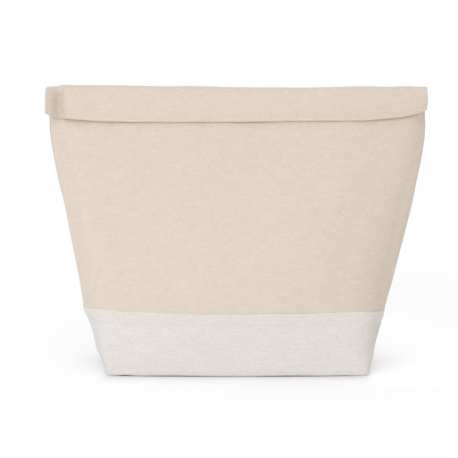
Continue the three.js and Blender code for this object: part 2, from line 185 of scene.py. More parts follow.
def outline(z, sign, soft=0.0):
    """Front (sign -1) or back (sign 1) half of the bag's outline at heights z, from the left seam to the right one.
    Gives x and y as (rows, COLS), and each column's distance from the side seam next to it."""
    z = np.atleast_1d(np.asarray(z, float))[:, None]
    xl, xr, fl, fr = curve(LEFT_X, z), curve(RIGHT_X, z), curve(FACE_LEFT, z), curve(FACE_RIGHT, z)
    d, b, y = half_depth(z), belly(z), seam_y(z)
    sl, cl = np.stack([-xl, y], -1), np.stack([-fl, sign * d], -1)
    cr, sr = np.stack([fr, sign * d], -1), np.stack([xr, y], -1)

    def towards(p, q, reach):
        e = q - p
        l = np.linalg.norm(e, axis=-1, keepdims=True)
        return p + e / l * np.minimum(reach[..., None], 0.45 * l)

    rl, rr = np.maximum(curve(SOFT_LEFT, z), soft), np.maximum(curve(SOFT_RIGHT, z), soft)
    al, bl = towards(cl, sl, rl), towards(cl, cr, rl)
    ar, br = towards(cr, sr, rr), towards(cr, cl, rr)
    bow = np.sin(math.pi * np.clip((z - 8) / 210, 0, 1))

    def side(p, q, f, bow):
        e = q - p
        n = np.stack([e[..., 1], -e[..., 0]], -1) if sign < 0 else np.stack([-e[..., 1], e[..., 0]], -1)
        n = n / np.linalg.norm(n, axis=-1, keepdims=True)
        return p + e * f[None, :, None] + n * (bow * 4 * f[None] * (1 - f[None]))[..., None]

    def corner(p, q, r, t):
        t = t[None, :, None]
        return (1 - t) ** 2 * p + 2 * t * (1 - t) * q + t * t * r

    face = bl + (br - bl) * FACE_S[None, :, None]
    face = face + np.stack([0 * FACE_S[None] * b, sign * b * (1 - np.abs(2 * FACE_S[None] - 1) ** 2.6)], -1)
    p = np.concatenate([side(sl, al, SIDE_F, 1.3 * bow), corner(al, cl, bl, SOFT_T), face, corner(br, cr, ar, SOFT_T), side(ar, sr, 1 - SIDE_F[::-1][1:], 2.4 * bow)], 1)
    step = np.linalg.norm(np.diff(p, axis=1), axis=-1)
    along = np.concatenate([np.zeros((len(z), 1)), np.cumsum(step, 1)], 1)
    total = along[:, -1:]
    s = -HALF_W + 2 * HALF_W * along / total
    near = np.minimum(along, total - along)
    return p[..., 0], p[..., 1], s, near


def across(x, y, sign):
    """Outward directions, level, along rows of an outline that runs from left to right."""
    tx, ty = np.gradient(x, axis=1), np.gradient(y, axis=1)
    l = np.hypot(tx, ty)
    return (ty / l, -tx / l) if sign < 0 else (-ty / l, tx / l)


def wedge(z, s):
    """tan of half the angle between front and back at the side seam."""
    z = np.atleast_1d(z)[:, None]
    out = []
    for seam, face in ((LEFT_X, FACE_LEFT), (RIGHT_X, FACE_RIGHT)):
        w = curve(seam, z) - curve(face, z)
        d, y = half_depth(z), seam_y(z)
        out.append(np.tan(0.5 * (np.arctan2(d + y, w) + np.arctan2(d - y, w))))
    return np.where(s < 0, out[0], out[1])


def room(z, s, near):
    """Share of the full thickness that the layers have next to the side seams, where front and back come together."""
    k = 0.9 * near * wedge(z, s) / HEM
    k = k / (1 + k**4) ** 0.25
    return np.maximum(k, 0.06)


front_waves, front_fine = waves(3, 16, 55, 170, 0.8), waves(8, 22, 18, 60, 0.7)
back_waves, back_fine = waves(21, 16, 50, 170, 0.8), waves(34, 22, 18, 60, 0.7)


def meet(s, z):
    """How far the front wall comes forward just below the flap, whose lower edge lies on it."""
    line = curve(FLAP_LINE, s)
    ends = smooth(108, 122, np.abs(s))  # past the tapes the two lie closer behind the flap as well
    rise = smooth(line + 1.85 + 2.4 * ends, line - 1.5 + 0.4 * ends, z)
    return (3.15 - 1.3 * smooth(90, 130, np.abs(s)) - 0.5 * smooth(85, 120, s)) * rise * smooth(line - 75, line - 14, z) * smooth(161, 138, np.abs(s))


RIGHT_FOLD = [(40, 88), (80, 86), (137, 84), (165, 93), (190, 112), (212, 122)]
LEFT_FOLD = [(40, -84), (137, -92), (190, -104), (212, -112)]


def turned(t):
    """A soft turn of the cloth: 0 on one side of a line and a slope of 1 on the other."""
    return 0.5 * (t + np.sqrt(t * t + 20))


def swell(s, z, sign):
    """Gentle unevenness of the cloth, outwards."""
    s, z = np.broadcast_arrays(s, z)
    if sign < 0:
        folds = 0.078 * turned(s - curve(RIGHT_FOLD, z)) * smooth(170, 122, s) + 0.055 * turned(curve(LEFT_FOLD, z) - s)
        folds = folds * smooth(48, 85, z) * smooth(214, 192, z)
        d = 0.42 * front_waves(s, z) + 0.10 * front_fine(s, z)
        d = d * (1 - smooth(186, 212, z)) + meet(s, z) - folds
        d = d - 0.5 * bump(s, -30, 3.2) * smooth(150, 200, z) * (1 - smooth(212, 222, z))
        d = d + 0.3 * bump(s, -24, 5) * smooth(150, 200, z) * (1 - smooth(212, 222, z))
    else:
        d = 0.55 * back_waves(s, z) + 0.12 * back_fine(s, z)
        d = d * (1 - smooth(205, 232, z))
    d = d * smooth(2, 30, z)
    return d * smooth(168, 150, np.abs(s))


def seam_dip(near):
    return 0.55 * np.exp(-((near / 1.2) ** 2))


def grid_normals(p):
    """Unit normals of a grid of points, by the cross product of column and row steps."""
    c, r = np.gradient(p, axis=1), np.gradient(p, axis=0)
    n = np.cross(c, r)
    return n / np.maximum(np.linalg.norm(n, axis=-1, keepdims=True), 1e-9)


# ---- meshes ------------------------------------------------------------------------------------------------
def make(name, points, faces, cloth, weight=None, material=None, sharp=38, tint_and_painted_shade=None):
    """A mesh object from points in millimetres. cloth holds each point's place on the cut cloth, in millimetres, and
    the last argument a tone per point: above nought a warm brown tint, which is painted shade under the flap and the
    seam allowance's show-through on the base, below nought an even grey painted shade."""
    me = bpy.data.meshes.new(name)
    me.from_pydata((np.asarray(points, float) / 1000).tolist(), [], faces)
    a = me.attributes.new("cloth", "FLOAT_VECTOR", "POINT")
    a.data.foreach_set("vector", (np.asarray(cloth, np.float32) / 1000).ravel())
    for key, values in (("share", weight), ("tint_and_painted_shade", tint_and_painted_shade)):
        if values is not None:
            a = me.attributes.new(key, "FLOAT", "POINT")
            a.data.foreach_set("value", np.asarray(values, np.float32).ravel())
    bm = bmesh.new()
    bm.from_mesh(me)
    bmesh.ops.remove_doubles(bm, verts=bm.verts, dist=3e-6)
    bmesh.ops.dissolve_degenerate(bm, edges=bm.edges, dist=1e-7)
    bmesh.ops.recalc_face_normals(bm, faces=bm.faces)
    bm.to_mesh(me)
    bm.free()
    me.polygons.foreach_set("use_smooth", [True] * len(me.polygons))
    me.set_sharp_from_angle(angle=math.radians(sharp))
    me.update()
    ob = bpy.data.objects.new(name, me)
    bpy.context.scene.collection.objects.link(ob)
    if material is not None:
        me.materials.append(material)
    return ob


def share(ob):
    """Reads the cloth's shares between two bodies, which follow the cloth and not a straight line, and bakes the
    object's place into its mesh.
    """
    w = np.empty(len(ob.data.vertices), np.float32)
    ob.data.attributes["share"].data.foreach_get("value", w)
    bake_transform(ob)
    ob.data.update()


def slab(name, outer, inner, cloth, weight=None, wrap=False, rims=(True, True), tint_and_painted_shade=None, **kw):
    """A closed sheet between two matching grids of points, (rows, columns, 3) each."""
    R, C = outer.shape[:2]
    points = np.concatenate([outer.reshape(-1, 3), inner.reshape(-1, 3)])
    coords = np.concatenate([cloth.reshape(-1, 3)] * 2)
    w = None if weight is None else np.concatenate([weight.ravel()] * 2)
    tint_and_painted_shade = None if tint_and_painted_shade is None else np.concatenate([tint_and_painted_shade.ravel()] * 2)
    base = R * C
    faces = []
    for r in range(R - 1):
        for c in range(C if wrap else C - 1):
            d = (c + 1) % C
            q = (r * C + c, r * C + d, (r + 1) * C + d, (r + 1) * C + c)
            faces.append(q)
            faces.append(tuple(base + v for v in reversed(q)))
    for r, on in ((0, rims[0]), (R - 1, rims[1])):
        if on:
            for c in range(C if wrap else C - 1):
                d = (c + 1) % C
                q = (r * C + d, r * C + c, base + r * C + c, base + r * C + d)
                faces.append(q if r == 0 else tuple(reversed(q)))
    if not wrap:
        for c in (0, C - 1):
            for r in range(R - 1):
                q = (r * C + c, (r + 1) * C + c, base + (r + 1) * C + c, base + r * C + c)
                faces.append(q if c == 0 else tuple(reversed(q)))
    return make(name, points, faces, coords, w, tint_and_painted_shade=tint_and_painted_shade, **kw)


# ---- finishes ----------------------------------------------------------------------------------------------
class Nodes:
    """Short ways to write a material's nodes."""

    def __init__(self, name):
        self.m = bpy.data.materials.new(name)
        self.m.use_nodes = True
        self.t = self.m.node_tree
        self.t.nodes.clear()
        self.out = self.t.nodes.new("ShaderNodeOutputMaterial")
        self.bsdf = self.t.nodes.new("ShaderNodeBsdfPrincipled")
        self.t.links.new(self.bsdf.outputs[0], self.out.inputs[0])

    def put(self, socket, value):
        if isinstance(value, bpy.types.NodeSocket):
            self.t.links.new(value, socket)
        else:
            socket.default_value = value

    def math(self, op, a, b=0.5, c=0.5, clamp=False):
        n = self.t.nodes.new("ShaderNodeMath")
        n.operation = op
        n.use_clamp = clamp
        self.put(n.inputs[0], a)
        self.put(n.inputs[1], b)
        self.put(n.inputs[2], c)
        return n.outputs[0]

    def cloth(self):
        """The place on the cut cloth in millimetres."""
        a = self.t.nodes.new("ShaderNodeAttribute")
        a.attribute_type = "GEOMETRY"
        a.attribute_name = "cloth"
        n = self.t.nodes.new("ShaderNodeVectorMath")
        n.operation = "SCALE"
        self.put(n.inputs[0], a.outputs["Vector"])
        n.inputs["Scale"].default_value = 1000
        return n.outputs[0]

    def tint_and_painted_shade(self):
        """Tone per point: above nought a warm brown tint, which is painted shade under the flap and the seam
        allowance's show-through on the base, below nought an even grey painted shade.
        """
        a = self.t.nodes.new("ShaderNodeAttribute")
        a.attribute_type = "GEOMETRY"
        a.attribute_name = "tint_and_painted_shade"
        return a.outputs["Fac"]

    def scaled(self, v, x, y, z=1.0, shift=(0, 0, 0)):
        n = self.t.nodes.new("ShaderNodeMapping")
        n.vector_type = "POINT"
        self.put(n.inputs["Vector"], v)
        n.inputs["Scale"].default_value = (x, y, z)
        n.inputs["Location"].default_value = shift
        return n.outputs[0]

    def noise(self, v, scale=1.0, detail=2.0, rough=0.5, distortion=0.0):
        n = self.t.nodes.new("ShaderNodeTexNoise")
        n.noise_dimensions = "3D"
        self.put(n.inputs["Vector"], v)
        n.inputs["Scale"].default_value = scale
        n.inputs["Detail"].default_value = detail
        n.inputs["Roughness"].default_value = rough
        n.inputs["Distortion"].default_value = distortion
        return n.outputs[0]

    def voronoi(self, v, scale=1.0, feature="F1"):
        n = self.t.nodes.new("ShaderNodeTexVoronoi")
        n.feature = feature
        self.put(n.inputs["Vector"], v)
        n.inputs["Scale"].default_value = scale
        return n

    def split(self, v):
        n = self.t.nodes.new("ShaderNodeSeparateXYZ")
        self.put(n.inputs[0], v)
        return n.outputs

    def add(self, a, b):
        n = self.t.nodes.new("ShaderNodeVectorMath")
        n.operation = "ADD"
        self.put(n.inputs[0], a)
        self.put(n.inputs[1], b)
        return n.outputs[0]

    def combine(self, x, y, z=0.0):
        n = self.t.nodes.new("ShaderNodeCombineXYZ")
        self.put(n.inputs[0], x)
        self.put(n.inputs[1], y)
        self.put(n.inputs[2], z)
        return n.outputs[0]

    def range(self, v, a, b, c=0.0, d=1.0, kind="SMOOTHSTEP"):
        n = self.t.nodes.new("ShaderNodeMapRange")
        n.interpolation_type = kind
        self.put(n.inputs["Value"], v)
        for key, x in zip(("From Min", "From Max", "To Min", "To Max"), (a, b, c, d)):
            n.inputs[key].default_value = x
        return n.outputs[0]

    def mix(self, f, a, b, kind="MIX"):
        n = self.t.nodes.new("ShaderNodeMix")
        n.data_type = "RGBA"
        n.blend_type = kind
        self.put(n.inputs[0], f)
        for s, x in ((n.inputs[6], a), (n.inputs[7], b)):
            self.put(s, (*x, 1.0) if isinstance(x, tuple) else x)
        return n.outputs[2]

    def grey(self, v):
        n = self.t.nodes.new("ShaderNodeCombineColor")
        for i in range(3):
            self.put(n.inputs[i], v)
        return n.outputs[0]

    def bump(self, height, distance, strength=1.0, below=None):
        n = self.t.nodes.new("ShaderNodeBump")
        n.inputs["Strength"].default_value = strength
        n.inputs["Distance"].default_value = distance
        self.put(n.inputs["Height"], height)
        if below is not None:
            self.put(n.inputs["Normal"], below)
        return n.outputs[0]


def canvas(name, colour, fleck=(0.33, 0.24, 0.16), grain=1.0, slub=1.0, seeds=0.62, relief=1.0, pitch=0.82, painted_low_light=0.0):
    """Plain-woven cotton canvas: threads, slubs in weft and warp, uneven bleaching and seed flecks, with painted light
    low down and painted shade from the per-point tone.
    """
    n = Nodes(name)
    v = n.cloth()
    # threads wander a little
    h, k, _ = n.split(v)
    hx = n.math("MULTIPLY_ADD", n.noise(n.scaled(v, 0.05, 0.05), 1.0, 2.0), 3.0, h)
    ky = n.math("MULTIPLY_ADD", n.noise(n.scaled(v, 0.03, 0.06, 1, (9, 4, 2)), 1.0, 2.0), 3.0, k)
    warp = n.math("SINE", n.math("MULTIPLY", hx, math.pi / pitch))
    weft = n.math("SINE", n.math("MULTIPLY", ky, math.pi / pitch))
    weave = n.math("MULTIPLY", warp, weft)
    # each weft and warp thread has its own tone for a stretch, and thick places
    t1 = n.noise(n.scaled(v, 0.06, 1.05, 1, (3, 1, 0)), 1.0, 1.0, 0.5)
    t2 = n.noise(n.scaled(v, 0.24, 0.85, 1, (1, 7, 5)), 1.0, 1.0, 0.5)
    t3 = n.noise(n.scaled(v, 0.95, 0.14, 1, (5, 2, 8)), 1.0, 1.0, 0.5)
    t4 = n.noise(n.scaled(v, 0.62, 0.62, 1, (4, 4, 4)), 1.0, 2.0, 0.6)
    t5 = n.noise(n.scaled(v, 0.03, 0.04, 1, (2, 6, 1)), 1.0, 3.0, 0.55)
    # patches in which the rows of the weave show more
    patch = n.range(n.noise(n.scaled(v, 0.08, 0.08, 1, (7, 7, 3)), 1.0, 1.0), 0.42, 0.62)
    rows = n.math("MULTIPLY", n.math("MULTIPLY", weft, patch), 0.012 * grain)
    slubs = n.range(n.noise(n.scaled(v, 0.075, 0.62, 1, (21, 3, 9)), 1.0, 1.0, 0.5), 0.60, 0.78)
    slubs_up = n.range(n.noise(n.scaled(v, 0.62, 0.085, 1, (2, 31, 9)), 1.0, 1.0, 0.5), 0.62, 0.78)
    tone = n.math("ADD", 1.0, rows)
    for field, size in ((t1, 0.080), (t2, 0.088), (t3, 0.054), (t4, 0.055), (t5, 0.02)):
        tone = n.math("ADD", tone, n.math("MULTIPLY_ADD", field, 2 * size * grain, -size * grain))
    tone = n.math("ADD", tone, n.math("MULTIPLY", slubs, 0.030 * slub))
    tone = n.math("ADD", tone, n.math("MULTIPLY", slubs_up, -0.025 * slub))
    tone = n.math("MULTIPLY_ADD", weave, 0.022 * grain, tone)
    tone = n.math("ADD", tone, n.math("MULTIPLY", n.range(k, 200, 75, 0.0, painted_low_light), n.range(h, 125, 25)))  # painted light: the natural canvas is made lighter low down, left of the middle
    col = n.mix(1.0, colour, n.grey(tone), "MULTIPLY")
    # seed flecks: dark dots, and short ones along the weft
    marks = None
    for cell, size, stretch, keep, shift in ((4.4, 0.62, 1.0, 0.30, (0, 0, 0)), (15.0, 0.80, 0.5, 0.30, (40, 9, 0))):
        c = n.voronoi(n.scaled(v, stretch / cell, 1 / cell, 0, shift), 1.0)
        near = n.range(n.math("MULTIPLY", c.outputs["Distance"], cell), size, 0.35 * size)
        pick = n.split(c.outputs["Color"])
        dark = n.range(pick[0], keep, 1.0, 0.0, 1.0, "LINEAR")
        one = n.math("MULTIPLY", near, dark)
        marks = one if marks is None else n.math("MAXIMUM", marks, one)
    col = n.mix(n.math("MULTIPLY", marks, seeds), col, fleck)
    # painted shade: the per-point tone above nought mixes in a warm brown (painted shade under the flap, the seam
    # allowance's show-through on the base), below nought an even grey painted shade
    tint_and_painted_shade = n.tint_and_painted_shade()
    col = n.mix(tint_and_painted_shade, col, n.mix(1.0, col, (0.99, 0.90, 0.76), "MULTIPLY"))
    col = n.mix(n.math("MULTIPLY", tint_and_painted_shade, -1.0), col, n.mix(1.0, col, (0.865, 0.855, 0.845), "MULTIPLY"))
    n.put(n.bsdf.inputs["Base Color"], col)
    n.put(n.bsdf.inputs["Roughness"], n.math("MULTIPLY_ADD", t1, 0.10, 0.85))
    n.bsdf.inputs["Specular IOR Level"].default_value = 0.2
    n.bsdf.inputs["Sheen Weight"].default_value = 0.06
    n.bsdf.inputs["Sheen Roughness"].default_value = 0.6
    body = n.math("ADD", n.math("MULTIPLY", t1, 0.8), n.math("ADD", n.math("MULTIPLY", t2, 0.8), n.math("MULTIPLY", t3, 0.6)))
    body = n.math("MULTIPLY_ADD", t4, 0.5, body)
    body = n.math("MULTIPLY_ADD", slubs, 0.5 * slub, body)
    b = n.bump(body, 0.00020 * relief, 1.0)
    b = n.bump(weave, 0.00009 * relief, 1.0, b)
    n.put(n.bsdf.inputs["Normal"], b)
    return n.m


def film(name):
    """Silver-faced lining film with crinkles."""
    n = Nodes(name)
    v = n.cloth()
    warp = n.noise(n.scaled(v, 0.03, 0.03), 1.0, 2.0)
    big = n.voronoi(n.add(n.scaled(v, 0.06, 0.05), n.combine(warp, warp, warp)), 1.0).outputs["Distance"]
    small = n.voronoi(n.add(n.scaled(v, 0.19, 0.16), n.combine(warp, warp, warp)), 1.0).outputs["Distance"]
    fine = n.noise(n.scaled(v, 0.5, 0.5), 1.0, 4.0, 0.6)
    height = n.math("ADD", n.math("MULTIPLY", big, 1.2), n.math("ADD", n.math("MULTIPLY", small, 0.5), n.math("MULTIPLY", fine, 0.18)))
    col = n.mix(n.range(fine, 0.3, 0.7), (0.74, 0.75, 0.77), (0.84, 0.845, 0.86))
    n.put(n.bsdf.inputs["Base Color"], col)
    n.bsdf.inputs["Metallic"].default_value = 0.8
    n.put(n.bsdf.inputs["Roughness"], n.math("MULTIPLY_ADD", fine, 0.18, 0.24))
    n.put(n.bsdf.inputs["Normal"], n.bump(height, 0.0011, 0.8))
    return n.m


def foam(name):
    n = Nodes(name)
    v = n.cloth()
    cells = n.voronoi(n.scaled(v, 1.4, 1.4, 1.4), 1.0).outputs["Distance"]
    soft = n.noise(n.scaled(v, 0.12, 0.12), 1.0, 3.0)
    n.put(n.bsdf.inputs["Base Color"], n.mix(soft, (0.83, 0.83, 0.81), (0.90, 0.90, 0.885)))
    n.put(n.bsdf.inputs["Roughness"], n.math("MULTIPLY_ADD", cells, 0.2, 0.68))
    n.put(n.bsdf.inputs["Normal"], n.bump(cells, 0.0002, 0.8))
    return n.m


def tape(name, colour, dark, pitch, relief, across_only=False):
    """Woven tape: fine ribs, or rows of small hooks or loops."""
    n = Nodes(name)
    v = n.cloth()
    h, k, _ = n.split(v)
    a = n.math("SINE", n.math("MULTIPLY", h, 2 * math.pi / pitch))
    b = n.math("SINE", n.math("MULTIPLY", k, 2 * math.pi / (pitch * (0.5 if across_only else 1.0))))
    field = n.math("ABSOLUTE", n.math("MULTIPLY", a, b)) if not across_only else n.math("MULTIPLY_ADD", b, 0.5, 0.5)
    loose = n.noise(n.scaled(v, 0.9, 0.9), 1.0, 3.0, 0.6)
    height = n.math("MULTIPLY_ADD", loose, 0.6, field)
    # painted shade: the tape's colour goes darker where its relief is low
    n.put(n.bsdf.inputs["Base Color"], n.mix(n.range(height, 0.2, 1.2, kind="LINEAR"), dark, colour))
    n.put(n.bsdf.inputs["Roughness"], n.math("MULTIPLY_ADD", loose, 0.15, 0.72))
    n.bsdf.inputs["Specular IOR Level"].default_value = 0.25
    n.bsdf.inputs["Sheen Weight"].default_value = 0.04
    n.put(n.bsdf.inputs["Normal"], n.bump(height, relief, 1.0))
    return n.m


natural = canvas("natural_canvas", (0.656, 0.570, 0.477), painted_low_light=0.028)
white = canvas("white_canvas", (0.706, 0.668, 0.631), fleck=(0.34, 0.25, 0.18), slub=1.6, seeds=0.5, relief=1.1)
silver = film("silver_film")
padding = foam("white_foam")
hooks = tape("hook_tape", (0.80, 0.715, 0.605), (0.66, 0.58, 0.48), 1.3, 0.0004)
loops = tape("loop_tape", (0.82, 0.745, 0.645), (0.71, 0.635, 0.54), 0.9, 0.0003)
binding = tape("binding_tape", (0.78, 0.77, 0.74), (0.68, 0.67, 0.64), 1.6, 0.0002, across_only=True)

# ---- front wall and back wall ------------------------------------------------------------------------------
BAND_ROWS = BAND_Z + np.array([0.03, 0.3, 0.7, 1.4, 2.6, 4.2, 6.5])


def wall_rows(top, extra=()):
    middle = np.arange(BAND_Z + 9.5, top - 12, 3.6)
    return np.unique(np.concatenate([BAND_ROWS, middle, np.asarray(extra, float)]))


def wall(z, sign, soft=0.0):
    """Outside of a wall: points, inward directions, place on the cloth, and distance from the side seams."""
    x, y, s, near = outline(z, sign, soft)
    zz = np.broadcast_to(np.asarray(z, float)[:, None], x.shape)
    p = np.stack([x, y, zz], -1)
    out = grid_normals(p) * (1 if sign < 0 else -1)
    p = p + out * swell(s, zz, sign)[..., None]
    p[..., 2] += seam_rise(s, zz)
    return p, -out, s, zz, near


def band_dip(z):
    """The cloth draws in at the seam between the white base and the natural canvas."""
    return 0.22 * np.exp(-((np.abs(z - BAND_Z) / 0.6) ** 2))


def seam_rise(s, z):
    return curve(SEAM_LINE, s) * np.exp(-(((np.asarray(z, float) - BAND_Z) / 20) ** 2))


def front_share(s, z):
    """How far the front cloth follows the front wall: fully in the middle, not at all at the side seams or the foot."""
    return (1 - smooth(0.42, 1.0, np.abs(s) / HALF_W)) * smooth(BAND_Z, BAND_Z + 62, z)


def front_sheet(name, z, t_out, t_in, material, replaced, short=0):
    """A layer of the front wall. It ends as many columns before the side seams as short says."""
    p, n, s, zz, near = wall(z, -1)
    k = room(z, s, near)
    p, n, s, zz, near, k = [v[:, short : COLS - short] for v in (p, n, s, zz, near, k)]
    t_out, t_in = t_out(s, zz, near, k), t_in(s, zz, near, k)
    cloth = np.stack([s, zz / COS, 0 * s + 1.0], -1)
    line = curve(FLAP_LINE, s)
    # painted shade: a warm brown line just below the flap's lower edge, where the flap's shadow falls, and an even grey
    # over the right part of the front, which is turned from the light
    tint_and_painted_shade = 0.6 * smooth(line - 6.0, line - 1.0, zz) * smooth(line + 3, line, zz) * smooth(163, 150, np.abs(s)) - 0.22 * smooth(70, 135, s)
    ob = slab(name, p + n * t_out[..., None], p + n * t_in[..., None], cloth, front_share(s, zz), tint_and_painted_shade=tint_and_painted_shade, material=material)
    share(ob)
    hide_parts(*replaced)
    return ob


hem_z = MOUTH_Z - HEM_DROP
r_hem = HEM / 2
edge = r_hem * (1 - np.cos(np.linspace(0, math.pi / 2, 7)))[::-1]  # distances down from the top edge, rounded
z_meet = np.arange(208, 230.5, 1.2)
z_front = wall_rows(hem_z, [*z_meet, hem_z - 1.5, hem_z, hem_z + 0.12, hem_z + 0.5, hem_z + 1.2, hem_z + 3, hem_z + 5.2])
z_front = np.concatenate([z_front[z_front < MOUTH_Z - r_hem - 0.3], MOUTH_Z - edge])
z_front = np.unique(np.round(z_front, 4))


def hem_round(z):
    d = np.clip(MOUTH_Z - z, 0, r_hem)
    return np.sqrt(np.maximum(0, r_hem**2 - (r_hem - d) ** 2))


front_cloth = front_sheet(
    "front_cloth",
    z_front,
    lambda s, z, near, k: seam_dip(near) + band_dip(z) + np.where(z > hem_z + 0.06, (r_hem - hem_round(z)) * k, 0),
    lambda s, z, near, k: seam_dip(near) + band_dip(z) + np.where(z > hem_z + 0.06, (r_hem + hem_round(z)) * k, CANVAS * k),
    natural,
    ("front_panel", "left_gusset", "right_gusset"),
)
z_in = wall_rows(hem_z, [*z_meet[z_meet < hem_z - 0.6], hem_z - 0.3])
front_foam = front_sheet(
    "front_foam_sheet", z_in, lambda s, z, near, k: seam_dip(near) + band_dip(z) + FOAM[0] * k, lambda s, z, near, k: seam_dip(near) + band_dip(z) + FOAM[1] * k,
    padding, ("front_foam", "left_gusset_foam", "right_gusset_foam"), short=4,
)
crinkle = waves(55, 30, 9, 40)
front_film = front_sheet(
    "front_film", z_in, lambda s, z, near, k: seam_dip(near) + band_dip(z) + FILM[0] * k, lambda s, z, near, k: seam_dip(near) + band_dip(z) + (FILM[1] + 0.12 * crinkle(s, z)) * k,
    silver, ("front_lining", "left_gusset_lining", "right_gusset_lining"), short=4,
)

# ---- back wall, fold and flap in one cloth -----------------------------------------------------------------
FACING_Z = 229.5  # lower edge of the facing inside the back wall
r_fold = FOLD_T / 2
z_back = wall_rows(FACING_Z, [FACING_Z - 8, FACING_Z - 4, FACING_Z - 1.5, FACING_Z, FACING_Z + 0.15, FACING_Z + 0.5, FACING_Z + 1.2, FACING_Z + 2.4])
z_back = np.concatenate([z_back, np.arange(FACING_Z + 3.6, TANGENT_Z - 0.5, 1.2), [TANGENT_Z]])
z_back = np.unique(np.round(z_back, 4))
angles = np.linspace(LEAN, math.pi - LEAN, 31)[1:]
flap_f = np.linspace(0, 1, 12)[1:]
edge_d = np.array([3.2, 2.1, 1.42, 0.95, 0.58, 0.30, 0.11, 0.0])


def fold_outline():
    """Outside of the back wall, the fold and the flap as one grid, with its path length and its shares."""
    p, n, s, zz, near = wall(z_back, 1)
    top_s = outline([TANGENT_Z], 1)[2][0]
    flat_x = top_s.copy()
    m = smooth(222, 239, zz)
    x = p[..., 0] * (1 - m) + flat_x[None] * m
    y = p[..., 1] * (1 - m) + half_depth(zz) * m
    rows = [np.stack([x, y, zz + seam_rise(s, zz)], -1)]
    path = [zz / COS]
    w = [0 * zz]
    x0 = flat_x
    start = TANGENT_Z / COS
    for a in angles:
        rows.append(np.stack([x0, 0 * x0 + AXIS_Y + RHO * math.cos(a), 0 * x0 + AXIS_Z + RHO * math.sin(a)], -1)[None])
        path.append((0 * x0 + start + RHO * (a - LEAN))[None])
        w.append((0 * x0 + (a - LEAN) / (math.pi - 2 * LEAN))[None])
    length = (TANGENT_Z + curve(TOP_LINE, x0) - curve(FLAP_LINE, x0)) / COS
    fy, fz = AXIS_Y - RHO * COS, AXIS_Z + RHO * SIN
    end = start + RHO * (math.pi - 2 * LEAN)
    down = [f * (length - 4.4) for f in flap_f] + [length - d for d in edge_d]
    for r in down:
        rows.append(np.stack([x0, fy - r * SIN, fz - r * COS], -1)[None])
        path.append((end + r)[None])
        w.append((0 * x0 + 1)[None])
    p, path, w = np.concatenate(rows), np.concatenate(path), np.concatenate(w)
    n_wall, n_arc = len(z_back), len(angles)
    row = np.arange(len(p))[:, None]
    on_flap = np.where(row >= n_wall + n_arc, 1.0, 0.0)
    down_all = np.zeros_like(path)
    down_all[n_wall + n_arc :] = np.array(down)
    left_edge = np.concatenate([np.full_like(path[: n_wall + n_arc], 99.0), (length[None] - np.array(down))])
    raised = smooth(226, 241, p[..., 2]) * (row < n_wall) + (row >= n_wall)
    x0 = np.broadcast_to(flat_x, path.shape)
    p[..., 2] += curve(TOP_LINE, x0) * raised
    # the ends: the right one stands back a little towards its lower corner, the left one flares there
    p[..., 0] += on_flap * smooth(4, 24, down_all) * (-0.9 * smooth(120, 168, x0) - 1.0 * bump(x0, -170, 5))
    out = -grid_normals(p)
    wave = fold_waves(x0, path * 0.6)
    lift = 0.35 * wave * raised
    # a hollow beside the left end, from the fold's top down
    over = smooth(start + 0.38 * RHO * math.pi, start + 0.92 * RHO * math.pi, path)
    lift = lift + over * (0.6 * smooth(-138, -150, x0) - 5.6 * bump(x0, -156.1, 4.5) - 0.8 * bump(x0, -160.5, 6))
    lift = lift + over * (0.45 * bump(x0, -136, 6) - 0.75 * bump(x0, -125, 5) + 0.3 * bump(x0, -113, 6))
    lift = lift + over * (0.45 * bump(x0, 164.5, 3) - 0.35 * bump(x0, 158, 4))
    lift = lift + on_flap * smooth(9, 1.5, left_edge) * fold_fine(x0, 0 * x0) * smooth(168, 150, np.abs(x0)) * 0.2
    # the flap leans in, most of all at its ends, and its edge is pressed flat
    lift = lift - on_flap * curve(PRESS, x0) * smooth(1, 22, down_all) - on_flap * 0.5 * smooth(7, 1, left_edge)
    p = p + out * lift[..., None]
    return p, s, path, w, x0, left_edge, zz, near, over


PRESS = [(-168, 1.4), (-150, 1.25), (-125, 1.1), (-100, 0.7), (0, 0.8), (70, 0.5), (100, 0.25), (125, 0.55), (145, 1.05), (168, 3.2)]
END_R, EDGE_R, EDGE_FLAT = 0.6, 1.2, 0.45
fold_waves, fold_fine = waves(71, 12, 45, 140), waves(72, 10, 22, 70)
p, s_wall, path, w, x0, to_edge, zz, near, over = fold_outline()
n_in = grid_normals(p)
rows, n_wall = len(p), len(z_back)
s_all = np.concatenate([s_wall, np.broadcast_to(x0[0], (rows - n_wall, COLS))])
z_all = np.concatenate([zz, np.full((rows - n_wall, COLS), 260.0)])
near_all = np.concatenate([near, HALF_W - np.abs(x0[n_wall:])])
k_all = np.concatenate([room(z_back, s_wall, near), np.ones((rows - n_wall, COLS))])
start_z = FACING_Z + 6.6 * smooth(134, 156, np.abs(s_all))
thick = smooth(0, 0.15, z_all - start_z - 0.02)
a = np.clip(1 - (HALF_W - np.abs(s_all)) / END_R, 0, 1)
b = np.clip(1 - to_edge / EDGE_R, 0, 1)
h = r_fold * (1 - 0.48 * smooth(7.0, 1.0, to_edge)) * (EDGE_FLAT + (1 - EDGE_FLAT) * np.sqrt(np.maximum(0, 1 - np.maximum(a, b) ** 2)))
pinch = (seam_dip(near_all) + 0 * z_all) * smooth(241, 236, z_all) + band_dip(z_all)
t_out = thick * (r_fold - h) + pinch * (1 - thick)
t_in = thick * (r_fold + h) + (1 - thick) * (pinch + CANVAS * k_all)
cloth = np.stack([s_all, path, 0 * path + 2.0], -1)
